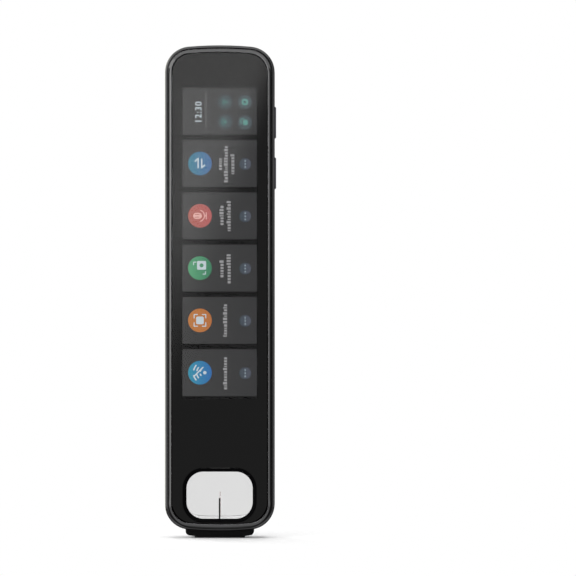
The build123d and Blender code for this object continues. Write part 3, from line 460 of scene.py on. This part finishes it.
def addPlate(mesh, x, z, width, height, corner, layer, paint=0, turn=0.0):
    made = bmesh.ops.create_cube(mesh, size=1.0)["verts"]
    bmesh.ops.scale(mesh, verts=made, vec=(width * mm, (layer[1] - layer[0]) * mm, height * mm))
    upright = [e for e in {e for v in made for e in v.link_edges}
               if abs(e.verts[0].co.y - e.verts[1].co.y) > depthStep]
    rounded = bmesh.ops.bevel(mesh, geom=upright, offset=corner * mm, segments=4, profile=0.5,
                              affect="EDGES", material=-1)
    made = list({v for f in rounded["faces"] for v in f.verts})
    bmesh.ops.rotate(mesh, verts=made, cent=(0, 0, 0), matrix=Matrix.Rotation(math.radians(turn), 3, "Y"))
    settle(mesh, made, x, z, layer, paint)


def addDisc(mesh, x, z, radius, steps, layer, paint=0):
    radius, depth = radius * mm, (layer[1] - layer[0]) * mm
    made = bmesh.ops.create_cone(mesh, cap_ends=True, segments=steps, radius1=radius, radius2=radius,
                                 depth=depth, matrix=Matrix.Rotation(math.pi / 2, 4, "X"))["verts"]
    settle(mesh, made, x, z, layer, paint)


def addStroke(mesh, startX, startZ, endX, endZ, width, layer, paint=0):
    across, up = endX - startX, endZ - startZ
    addPlate(mesh, (startX + endX) / 2, (startZ + endZ) / 2, math.hypot(across, up) + width, width,
             width * roundEnd, layer, paint, -math.degrees(math.atan2(up, across)))


def addArc(mesh, x, z, radius, width, fromAngle, toAngle, steps, layer, paint=0):
    whole = abs(toAngle - fromAngle) >= 360
    halfDepth = (layer[1] - layer[0]) / 2
    corners = [(radius - width / 2, -halfDepth), (radius + width / 2, -halfDepth),
               (radius + width / 2, halfDepth), (radius - width / 2, halfDepth)]
    begin = Matrix.Rotation(math.radians(-fromAngle), 3, "Y")
    section = [mesh.verts.new(begin @ Vector((r * mm, y * mm, 0))) for r, y in corners]
    face = mesh.faces.new(section)
    bmesh.ops.spin(mesh, geom=[face, *face.edges, *section], cent=(0, 0, 0), axis=(0, -1, 0),
                   angle=math.radians(toAngle - fromAngle), steps=steps, use_merge=whole, use_duplicate=False)
    made, waiting = set(section), list(section)
    while waiting:
        fresh = {v for e in waiting.pop().link_edges for v in e.verts} - made
        made |= fresh
        waiting += fresh
    if not whole:
        sides = [e for e in {e for v in made for e in v.link_edges} if e.is_boundary]
        bmesh.ops.holes_fill(mesh, edges=sides, sides=4)
    settle(mesh, list(made), x, z, layer, paint)


def addThing(name, data):
    thing = bpy.data.objects.new(name, data)
    bpy.context.scene.collection.objects.link(thing)
    return thing


def addMesh(name, mesh):
    data = bpy.data.meshes.new(name)
    mesh.to_mesh(data)
    mesh.free()
    return addThing(name, data)


def finishPiece(name, mesh, body, materials):
    bmesh.ops.remove_doubles(mesh, verts=mesh.verts, dist=weldDistance)
    bmesh.ops.recalc_face_normals(mesh, faces=mesh.faces)
    piece = addMesh(name, mesh)
    for material in materials:
        piece.data.materials.append(material)
    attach(piece, body)


# the colours of the display, each with its start and end across it and its two tones

screenLook = {"driftScale": 2500.0, "drift": 0.1, "base": tone(12, 12, 13), "roughness": 0.4}
paints = {
    "tile": (-11.5, 11.5, tone(62, 62, 62), tone(50, 50, 51)),
    "blue": (-9.7, -2.4, tone(62, 124, 142), tone(70, 104, 152)),
    "red": (-9.7, -2.4, tone(168, 98, 88), tone(176, 92, 92)),
    "green": (-9.7, -2.4, tone(88, 158, 116), tone(60, 122, 92)),
    "orange": (-9.7, -2.4, tone(184, 120, 66), tone(176, 108, 60)),
    "azure": (-9.7, -2.4, tone(58, 142, 166), tone(52, 104, 166)),
    "more": (6.1, 9.7, tone(64, 74, 82), tone(78, 82, 94)),
    "button": (0.0, 10.0, tone(62, 74, 78), tone(72, 84, 88)),
    "teal": (0.0, 10.0, tone(70, 122, 118), tone(96, 150, 140)),
    "white": (-9.0, -3.0, tone(196, 206, 210), tone(188, 200, 208)),
    "pale": (-9.0, -3.0, tone(222, 176, 166), tone(218, 168, 162)),
    "dots": (6.0, 10.0, tone(150, 166, 174), tone(140, 152, 160)),
    "label": (-1.0, 5.0, tone(152, 152, 153), tone(140, 140, 141)),
    "dim": (-6.0, 0.0, tone(88, 88, 89), tone(86, 86, 87)),
}


def screenPaint(name, start, end, first, second):  # lit, changing across the display, with a faint texture
    material, tree, shader = newMaterial(name)
    colour = blendTones(tree, spanNode(tree, spot(tree)[0], start, end), first, second)
    feed(tree, shader, {
        "Emission Color": drifting(tree, colour, Scale=screenLook["driftScale"], Drift=screenLook["drift"]),
        "Emission Strength": 1.0, "Base Color": screenLook["base"], "Roughness": screenLook["roughness"],
        "IOR": 1.0,
    })
    return material


paint = {name: screenPaint(name + "Light", *look) for name, look in paints.items()}

tileLook = {"width": 22.95, "height": 14.45, "count": 6, "pitch": 16.13, "top": 131.77, "corner": 0.25,
            "layer": (-4.99, -4.95)}
tileHeights = [tileLook["top"] - tileLook["pitch"] * n for n in range(tileLook["count"])]


def makeTiles():
    mesh = bmesh.new()
    for height in tileHeights:
        addPlate(mesh, 0, height, tileLook["width"], tileLook["height"], tileLook["corner"],
                 tileLook["layer"])
    finishPiece("displayTiles", mesh, "housing", [paint["tile"]])


discLook = {"x": -6.06, "radius": 3.65, "steps": 48, "layer": (-5.02, -4.995)}
moreLook = {"x": 7.91, "shift": -0.15, "radius": 1.78}
buttonLook = {"radius": 2.16, "places": {"signal": (1.70, 134.58), "ring": (7.79, 134.61),
                                         "person": (1.70, 128.46), "lock": (7.79, 128.28)}}


def makeDiscs():
    mesh = bmesh.new()
    steps, layer = discLook["steps"], discLook["layer"]
    for n, height in enumerate(tileHeights[1:]):
        addDisc(mesh, discLook["x"], height, discLook["radius"], steps, layer, n)
        addDisc(mesh, moreLook["x"], height + moreLook["shift"], moreLook["radius"], steps, layer, 5)
    for x, z in buttonLook["places"].values():
        addDisc(mesh, x, z, buttonLook["radius"], steps, layer, 6)
    shades = [paint[name] for name in ("blue", "red", "green", "orange", "azure", "more", "button")]
    finishPiece("displayDiscs", mesh, "housing", shades)


# each symbol's shapes: the kind, the colour's number, how far it stands forward, its middle or a stroke's two
# ends, and its own measures, such as a plate's width, height and corner
glyphLook = {"front": -5.05, "back": -5.025, "shades": ("white", "green", "dots", "teal", "pale", "red")}
shapeMakers = {"plate": addPlate, "disc": addDisc, "stroke": addStroke, "arc": addArc}
tileSymbols = {
    "swap": [("stroke", 0, 0, ends, 0.42) for ends in (
        ((-0.55, -1.3), (-0.55, 1.55)), ((-0.55, 1.55), (-1.5, 0.65)),
        ((0.55, 1.3), (0.55, -1.3)), ((0.55, -1.3), (1.45, -0.5)))],
    "microphone": [("plate", 4, 0, [(-0.75, 0)], 2.7, 1.9, 0.93),
                   ("stroke", 5, 0.01, [(-1.5, -0.42), (-0.3, -0.42)], 0.2),
                   ("stroke", 5, 0.01, [(-1.5, 0.42), (-0.3, 0.42)], 0.2),
                   ("arc", 4, 0, [(-0.35, 0)], 1.75, 0.3, -78, 78, 24),
                   ("stroke", 4, 0, [(1.5, 0), (1.85, 0)], 0.3),
                   ("stroke", 4, 0, [(1.95, -1.0), (1.95, 1.0)], 0.3)],
    "copy": [("plate", 0, 0, [(0.5, 0.85)], 2.8, 2.7, 0.35), ("disc", 1, 0.01, [(0.5, 0.85)], 0.62, 24),
             ("plate", 1, -0.005, [(-0.85, -0.9)], 2.1, 2.1, 0.3)] + [
        ("stroke", 0, 0, ends, 0.26) for ends in (
            ((-1.95, 1.0), (-1.95, 1.85)), ((-1.95, 1.85), (-1.2, 1.85)),
            ((1.7, -1.1), (1.7, -1.85)), ((1.7, -1.85), (0.95, -1.85)))],
    "capture": [("plate", 0, 0, [(0, 0)], 2.35, 2.35, 0.45)] + [
        ("stroke", 0, 0, ends, 0.3) for x in (-1, 1) for z in (-1, 1) for ends in (
            ((1.8 * x, 0.75 * z), (1.8 * x, 1.8 * z)), ((1.8 * x, 1.8 * z), (0.75 * x, 1.8 * z)))],
    "offline": [("disc", 0, 0, [(1.5, 0)], 0.52, 24), ("stroke", 0, 0, [(-1.9, -1.2), (0.9, 1.6)], 0.4)] + [
        ("arc", 0, 0, [(1.5, 0)], reach, 0.4, start, start + 30, 10) for reach in (1.45, 2.5, 3.5)
        for start in (138, 192)],
}
moreSymbol = [("disc", 2, 0, [(0, 0.95 * n)], 0.24, 16) for n in (-1, 0, 1)]
buttonSymbols = {
    "signal": [("disc", 3, 0, [(0.65, 0)], 0.3, 20)] + [
        ("arc", 3, 0, [(0.75, 0)], reach, 0.3, 140, 220, 12) for reach in (0.8, 1.45)],
    "ring": [("arc", 3, 0, [(0, 0)], 0.72, 0.62, 0, 360, 32)],
    "person": [("disc", 3, 0, [(0.05, 0)], 0.5, 20), ("arc", 3, 0, [(0, 0)], 1.05, 0.3, 100, 260, 18)],
    "lock": [("plate", 3, 0, [(0.16, 0.02)], 1.5, 1.7, 0.6),
             ("arc", 3, 0, [(-0.59, 0.42)], 0.75, 0.3, 60, 250, 18)],
}


def drawSymbol(mesh, x, z, shapes):
    for kind, shade, forward, places, *measures in shapes:
        spots = [value for atX, atZ in places for value in (x + atX, z + atZ)]
        layer = (glyphLook["front"] - forward, glyphLook["back"])
        shapeMakers[kind](mesh, *spots, *measures, layer, shade)


def makeGlyphs():
    mesh = bmesh.new()
    for height, shapes in zip(tileHeights[1:], tileSymbols.values()):
        drawSymbol(mesh, discLook["x"], height, shapes)
        drawSymbol(mesh, moreLook["x"], height + moreLook["shift"], moreSymbol)
    for name, (x, z) in buttonLook["places"].items():
        drawSymbol(mesh, x, z, buttonSymbols[name])
    finishPiece("displayGlyphs", mesh, "housing", [paint[name] for name in glyphLook["shades"]])


# rows of blocks stand for small print: each tile's rows as place and length, and one dim row at the top
labelLook = {"seed": 7, "letter": 0.62, "widths": (0.6, 1.0, 1.0, 1.25), "space": 0.26, "size": 0.95,
             "tall": 0.32, "tallShare": 0.3, "leave": 0.3, "corner": 0.12,
             "rows": [[(0.3, 4.0), (2.1, 11.6), (4.1, 6.6)], [(0.75, 5.7), (2.95, 9.5)],
                      [(0.75, 5.7), (2.95, 9.5)], [(1.85, 10.0)], [(1.85, 10.3)]],
             "dimRow": (-4.2, 132.0, 10.6, 0.7)}


def addWords(mesh, x, z, length, size, dice, shade):
    at, end = z - length / 2, z + length / 2
    while at < end - labelLook["leave"]:
        wide = labelLook["letter"] * dice.choice(labelLook["widths"]) * size
        rise = labelLook["tall"] * size if dice.random() < labelLook["tallShare"] else 0.0
        addPlate(mesh, x - rise / 2, at + wide / 2, labelLook["size"] * size + rise, wide,
                 labelLook["corner"] * size, (glyphLook["front"], glyphLook["back"]), shade)
        at += wide + labelLook["space"] * size


def makeLabels():
    mesh = bmesh.new()
    dice = random.Random(labelLook["seed"])
    for height, rows in zip(tileHeights[1:], labelLook["rows"]):
        for x, length in rows:
            addWords(mesh, x, height, length, 1.0, dice, 0)
    addWords(mesh, *labelLook["dimRow"], dice, 1)
    finishPiece("displayLabels", mesh, "housing", [paint["label"], paint["dim"]])


clockLook = {"time": "12:30", "size": 2.75, "spacing": 1.12, "weight": 0.03, "x": -6.45, "z": 131.4,
             "depth": 0.025}


def makeClock():
    words = bpy.data.curves.new("clockWords", "FONT")
    words.body = clockLook["time"]
    words.size = clockLook["size"] * mm
    words.align_x = "CENTER"
    words.align_y = "CENTER"
    words.extrude = clockLook["depth"] / 2 * mm
    words.offset = clockLook["weight"] * mm
    words.space_character = clockLook["spacing"]
    sketch = addThing("clockSketch", words)
    bpy.context.view_layer.update()
    mesh = bmesh.new()
    mesh.from_mesh(bpy.data.meshes.new_from_object(sketch))
    bpy.data.objects.remove(sketch)
    stand = Matrix.Rotation(math.pi / 2, 4, "X")  # the flat words stand up to face the front
    turn = Matrix.Rotation(math.radians(-90), 4, "Y")  # and read upwards
    place = Matrix.Translation(Vector((clockLook["x"], glyphLook["front"], clockLook["z"])) * mm)
    bmesh.ops.transform(mesh, matrix=place @ turn @ stand, verts=mesh.verts)
    finishPiece("displayClock", mesh, "housing", [paint["white"]])


makeTiles()
makeDiscs()
makeGlyphs()
makeLabels()
makeClock()
print("display drawn")


# floor, light and camera

studio = {
    "floorRadius": 3.0, "floorSides": 96, "fade": (0.012, 0.05), "floorTone": 0.9, "floorLift": 0.08,
    "diffuseSky": 0.55, "lens": 200.0, "sensor": 36.0, "frameHeight": 0.1786, "aim": (0.0211, 0.0, 0.07724),
    "clip": (0.01, 20.0),
}


def emptyTree(owner):
    owner.use_nodes = True
    owner.node_tree.nodes.clear()
    return owner.node_tree


def mixShaders(tree, share, first, second):
    return addNode(tree, "MixShader", {0: share, 1: first, 2: second}).outputs[0]


def whiteRays(tree):  # 1 where the camera, a mirror or a glass looks, and 0 for plain lighting
    rays = addNode(tree, "LightPath").outputs
    shiny = mathNode(tree, "MAXIMUM", rays["Is Glossy Ray"], rays["Is Transmission Ray"])
    return mathNode(tree, "MAXIMUM", rays["Is Camera Ray"], shiny)


def makeWorld():
    world = bpy.data.worlds.new("studioWorld")
    bpy.context.scene.world = world
    tree = emptyTree(world)
    skies = [addNode(tree, "Background", {"Color": white, "Strength": strength}).outputs[0]
             for strength in (studio["diffuseSky"], 1.0)]
    addNode(tree, "OutputWorld", {0: mixShaders(tree, whiteRays(tree), *skies)})


def makeFloor():
    mesh = bmesh.new()
    bmesh.ops.create_circle(mesh, cap_ends=True, segments=studio["floorSides"], radius=studio["floorRadius"])
    floor = addMesh("floor", mesh)
    material = bpy.data.materials.new("floorWhite")
    tree = emptyTree(material)
    place = addNode(tree, "TexCoord").outputs["Object"]
    distance = addNode(tree, "VectorMath", {0: place}, operation="LENGTH").outputs["Value"]
    far = spanNode(tree, distance, *studio["fade"], smooth=True)
    paper = addNode(tree, "BsdfDiffuse", {"Color": (studio["floorTone"],) * 3 + (1,)}).outputs[0]
    lift, glow = [addNode(tree, "Emission", {"Strength": level}).outputs[0]
                  for level in (studio["floorLift"], 1.0)]
    near = addNode(tree, "AddShader", {0: paper, 1: lift}).outputs[0]
    whole = mixShaders(tree, whiteRays(tree), paper, mixShaders(tree, far, near, glow))
    below = addNode(tree, "NewGeometry").outputs["Backfacing"]  # from below the floor isn't seen
    seen = mixShaders(tree, below, whole, addNode(tree, "BsdfTransparent").outputs[0])
    addNode(tree, "OutputMaterial", {0: seen})
    floor.data.materials.append(material)


def aimAt(thing, target):
    thing.rotation_euler = (Vector(target) - thing.location).to_track_quat("-Z", "Y").to_euler()


lamps = {  # place, aim, width, height, watts
    "keyLamp": ((-0.55, -0.45, 0.35), (0, 0, 0.08), 0.35, 0.5, 2.2),
    "rearLamp": ((-0.50, 0.42, 0.22), (0, 0, 0.08), 0.25, 0.6, 2.4),
    "topLamp": ((0.0, 0.0, 0.75), (0, 0, 0.0), 0.7, 0.7, 3.0),
    "fillLamp": ((0.6, -0.5, 0.15), (0, 0, 0.08), 0.4, 0.5, 0.5),
}


def makeLamps():
    for name, (place, target, width, height, watts) in lamps.items():
        data = bpy.data.lights.new(name, "AREA")
        data.shape = "RECTANGLE"
        data.size, data.size_y = width, height
        data.energy = watts
        lamp = addThing(name, data)
        lamp.location = place
        lamp.visible_glossy = False  # the cards stand in for the lamps in what the metal mirrors
        aimAt(lamp, target)


# cards that only mirrored rays see. Some have a soft step across a slanting line, the others a level that
# follows an axis, or the turn about the upright axis, through stops from low to high
cards = {
    "sheenCard": {"place": (-0.03, -1.17, 0.2), "aim": (-0.03, 0.0, 0.2), "width": 0.24, "height": 0.4,
                  "normal": (-0.921, 0.0, 0.389), "offset": 0.079, "softness": (0.0312, -0.0858),
                  "levels": (0.02, 3.6)},
    "plateCard": {"place": (0.0, 1.17, 0.17), "aim": (0.0, 0.0, 0.17), "width": 0.16, "height": 0.16,
                  "normal": (0.912, 0.0, 0.411), "offset": 0.0716, "softness": (0.0015, 0.0),
                  "levels": (0.02, 0.5)},
    "frontCard": {"place": (0.0, -1.2, 1.0), "aim": (0.0, 0.0, 1.0), "width": 4.4, "height": 2.0,
                  "along": "X",
                  "stops": ((-2.2, 0.32), (-1.5, 0.24), (-0.84, 0.14), (-0.5, 0.05), (-0.2, 0.02),
                            (0.3, 0.015), (1.0, 0.02), (1.5, 0.10), (2.2, 0.10))},
    "rearCard": {"place": (0.0, 1.2, 1.0), "aim": (0.0, 0.0, 1.0), "width": 4.4, "height": 2.0, "along": "X",
                 "dimAbove": (0.25, 1.1, 0.3),
                 "stops": ((-2.2, 1.4), (-1.7, 2.2), (-1.2, 3.0), (-0.72, 3.0), (-0.56, 2.3), (-0.437, 1.5),
                           (-0.32, 0.98), (-0.21, 0.63), (0.0, 0.38), (0.21, 0.23), (0.44, 0.13), (0.7, 0.10),
                           (2.2, 0.09))},
    "leftCard": {"place": (-2.2, 0.0, 1.0), "aim": (0.0, 0.0, 1.0), "width": 2.4, "height": 2.0, "along": "Y",
                 "stops": ((-1.2, 0.32), (-0.7, 0.50), (-0.4, 0.80), (-0.1, 0.80), (0.15, 0.50), (0.5, 0.52),
                           (0.8, 0.75), (1.2, 1.3))},
    "rightCard": {"place": (2.2, 0.0, 1.0), "aim": (0.0, 0.0, 1.0), "width": 2.4, "height": 2.0, "along": "Y",
                  "stops": ((-1.2, 0.10), (-0.75, 0.08), (-0.4, 0.40), (-0.15, 0.36), (0.1, 0.10),
                            (0.4, 0.06), (0.8, 0.08), (1.2, 0.09))},
    "topCard": {"place": (0.0, 0.0, 2.0), "width": 4.4, "height": 2.4, "along": "Y",
                "stops": ((-1.2, 0.4), (0.0, 0.46), (0.5, 0.25), (1.2, 0.2))},
    "floorCard": {"place": (0.0, 0.0, 0.0006), "width": 4.4, "height": 2.4, "along": "turn",
                  "stops": ((0.0, 0.62), (0.08, 0.27), (0.15, 0.14), (0.21, 0.03), (0.28, 0.02), (0.42, 0.03),
                            (0.46, 0.30), (0.49, 0.35), (0.52, 0.10), (0.62, 0.08), (0.667, 0.10),
                            (0.694, 0.13), (0.722, 0.23), (0.75, 0.38), (0.778, 0.63), (0.806, 1.5),
                            (0.836, 2.8), (0.875, 2.8), (0.903, 2.2), (0.93, 1.2), (1.0, 0.7))},
    "footCard": {"place": (0.0, 0.0, 0.0008), "width": 0.12, "height": 0.06, "along": "Y",
                 "stops": ((-0.03, 0.02), (-0.012, 0.05), (-0.008, 0.27), (-0.0055, 0.27), (-0.0044, 0.04),
                           (0.006, 0.05), (0.03, 0.15))},
}
warmth = 0.045  # how much less blue there is per unit of level, as the strongest light is a little warmer


def stopsLevel(tree, look, glow):
    place = addNode(tree, "NewGeometry").outputs["Position"]
    split = addNode(tree, "SeparateXYZ", {0: place})
    stops = look["stops"]
    first, last = stops[0][0], stops[-1][0]
    strongest = max(level for at, level in stops)
    if look["along"] == "turn":
        follow = addNode(tree, "TexGradient", {0: place}, gradient_type="RADIAL").outputs["Fac"]
    else:
        follow = split.outputs[look["along"]]
    ramp = addNode(tree, "ValToRGB", {"Fac": spanNode(tree, follow, first, last)})
    elements = ramp.color_ramp.elements
    while len(elements) < len(stops):
        elements.new(0.5)
    for n, (at, level) in enumerate(stops):
        elements[n].position = (at - first) / (last - first)
    for n, (at, level) in enumerate(stops):
        share = level / strongest
        elements[n].color = (share, share, share * (1.0 - warmth * level), 1)
    strength = strongest
    if "dimAbove" in look:
        start, end, left = look["dimAbove"]
        strength = spanNode(tree, split.outputs["Z"], start, end, strongest, strongest * left, smooth=True)
    feed(tree, glow, {"Color": ramp.outputs["Color"], "Strength": strength})


def slopeLevel(tree, look, glow):
    place = addNode(tree, "NewGeometry").outputs["Position"]
    height = addNode(tree, "SeparateXYZ", {0: place}).outputs["Z"]
    along = vectorNode(tree, "DOT_PRODUCT", place, look["normal"])["Value"]
    atFloor, perHeight = look["softness"]
    width = mathNode(tree, "ADD", mathNode(tree, "MULTIPLY", height, perHeight), atFloor)
    past = mathNode(tree, "DIVIDE", mathNode(tree, "SUBTRACT", along, look["offset"]), width)
    feed(tree, glow, {"Strength": spanNode(tree, past, -1.0, 1.0, *look["levels"], smooth=True)})


def makeCard(name, look):
    mesh = bmesh.new()
    bmesh.ops.create_grid(mesh, x_segments=1, y_segments=1, size=0.5)
    bmesh.ops.scale(mesh, verts=mesh.verts, vec=(look["width"], look["height"], 1))
    card = addMesh(name, mesh)
    card.location = look["place"]
    if "aim" in look:
        aimAt(card, look["aim"])
    material = bpy.data.materials.new(name + "Paper")
    tree = emptyTree(material)
    glow = addNode(tree, "Emission")
    makeLevel = stopsLevel if "stops" in look else slopeLevel
    makeLevel(tree, look, glow)
    addNode(tree, "OutputMaterial", {0: glow.outputs[0]})
    card.data.materials.append(material)
    for kind in ("camera", "diffuse", "transmission", "shadow", "volume_scatter"):
        setattr(card, "visible_" + kind, False)


def makeCamera():
    data = bpy.data.cameras.new("studioCamera")
    data.lens = studio["lens"]
    data.sensor_width = studio["sensor"]
    data.clip_start, data.clip_end = studio["clip"]
    camera = addThing("studioCamera", data)
    distance = studio["frameHeight"] * studio["lens"] / studio["sensor"]
    camera.location = Vector(studio["aim"]) + Vector((0, -distance, 0))
    camera.rotation_euler = (math.pi / 2, 0, 0)
    bpy.context.scene.camera = camera


makeWorld()
makeFloor()
makeLamps()
for name, look in cards.items():
    makeCard(name, look)
makeCamera()
bpy.context.scene.view_settings.view_transform = "Standard"
print("studio set")
